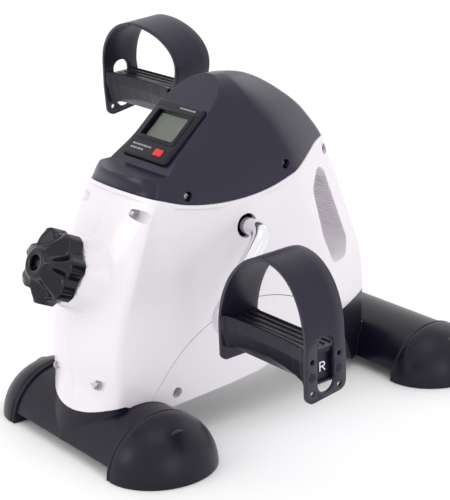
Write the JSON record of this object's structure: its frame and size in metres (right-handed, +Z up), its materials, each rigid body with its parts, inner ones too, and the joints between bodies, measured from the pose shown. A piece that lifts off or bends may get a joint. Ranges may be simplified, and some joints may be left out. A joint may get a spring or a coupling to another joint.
{
  "type": "pedal exerciser",
  "caption": "Tabletop and under-desk pedal exerciser: moulded body on two floor bars, bent crank with strapped pedals, tension knob, display and carrying grip.",
  "frame": {"origin": "bottom centre of the bounding box, on the floor between the two floor bars", "axes": "+Z up, +X the user's right, -Y towards the user, where the knob and the display are"},
  "size_m": [0.4104, 0.4193, 0.3096],
  "materials": {
    "white_shell": "glossy moulded white",
    "dark_shell": "satin dark grey",
    "foot_black": "satin black",
    "console_black": "semi-gloss black",
    "knob_black": "gloss black",
    "pedal_black": "satin black",
    "strap_rubber": "flexible satin dark grey",
    "chrome": "bright chrome plate",
    "lcd": "olive grey display glass",
    "window": "clear window",
    "button_red": "red push button",
    "board_green": "green circuit board",
    "steel": "plain steel",
    "frame_paint": "black painted steel",
    "flywheel_iron": "turned iron",
    "pulley_plastic": "moulded nylon",
    "magnet_metal": "plated magnet",
    "belt_rubber": "black rubber",
    "felt": "pressed felt"
  },
  "bodies": {
    "base": {"battery": "steel", "brake_bracket": "frame_paint", "cadence_sensor": "pulley_plastic", "circuit_board": "board_green", "console_case": "console_black", "cover_screws": "steel", "crank_bearings": "steel", "drive_belt": "belt_rubber", "flywheel_axle": "steel", "flywheel_axle_nuts": "steel", "front_bar_cover": "foot_black", "front_cross_tube": "frame_paint", "front_left_end_cap": "foot_black", "front_right_end_cap": "foot_black", "hood": "dark_shell", "hood_screws": "steel", "housing_screws": "steel", "lcd_panel": "lcd", "lcd_window": "window", "left_housing": "white_shell", "left_side_cover": "white_shell", "left_side_plate": "frame_paint", "main_frame": "frame_paint", "rear_bar_cover": "foot_black", "rear_cross_tube": "frame_paint", "rear_left_end_cap": "foot_black", "rear_right_end_cap": "foot_black", "right_housing": "white_shell", "right_side_cover": "white_shell", "right_side_plate": "frame_paint", "sensor_wire": "belt_rubber"},
    "crank": {"crank_shaft": "chrome", "left_crank": "chrome", "right_crank": "chrome", "crank_pulley": "pulley_plastic", "sensor_magnet": "magnet_metal", "left_spindle_clip": "steel", "right_spindle_clip": "steel"},
    "left_foot_rest": {"left_pedal": "pedal_black", "left_strap": "strap_rubber"},
    "right_foot_rest": {"right_pedal": "pedal_black", "right_strap": "strap_rubber"},
    "wheel": {"flywheel": "flywheel_iron", "flywheel_pulley": "pulley_plastic", "flywheel_bearings": "steel"},
    "knob": {"tension_knob": "knob_black", "tension_screw": "steel"},
    "brake": {"brake_carriage": "pulley_plastic", "brake_pad": "felt"},
    "button": {"reset_button": "button_red"}
  },
  "joints": [
    {"name": "crank_spin", "type": "hinge", "parent": "base", "child": "crank", "pos_m": [0, -0.0343, 0.168], "axis": [1, 0, 0], "continuous": true},
    {"name": "left_pedal_spin", "type": "hinge", "parent": "crank", "child": "left_foot_rest", "pos_m": [-0.16, 0.0237, 0.22806], "axis": [1, 0, 0], "continuous": true},
    {"name": "right_pedal_spin", "type": "hinge", "parent": "crank", "child": "right_foot_rest", "pos_m": [0.16, -0.0923, 0.10794], "axis": [1, 0, 0], "continuous": true},
    {"name": "flywheel_spin", "type": "hinge", "parent": "base", "child": "wheel", "pos_m": [0, -0.08853, 0.11078], "axis": [1, 0, 0], "continuous": true},
    {"name": "tension_knob_turn", "type": "hinge", "parent": "base", "child": "knob", "pos_m": [0, -0.1803, 0.1505], "axis": [0, 0.9178, -0.3971], "range_deg": [0, 1080]},
    {"name": "brake_slide", "type": "slide", "parent": "base", "child": "brake", "axis": [0, 0.9178, -0.3971], "range_m": [0, 0.0045]},
    {"name": "reset_press", "type": "slide", "parent": "base", "child": "button", "axis": [0, 0.6735, -0.7392], "range_m": [0, 0.001], "stiffness_N_per_m": 300}
  ],
  "couplings": [
    {"joint": "flywheel_spin", "follows": "crank_spin", "ratio": 3.2143},
    {"joint": "brake_slide", "follows": "tension_knob_turn", "m_per_rad": 0.00023873}
  ]
}
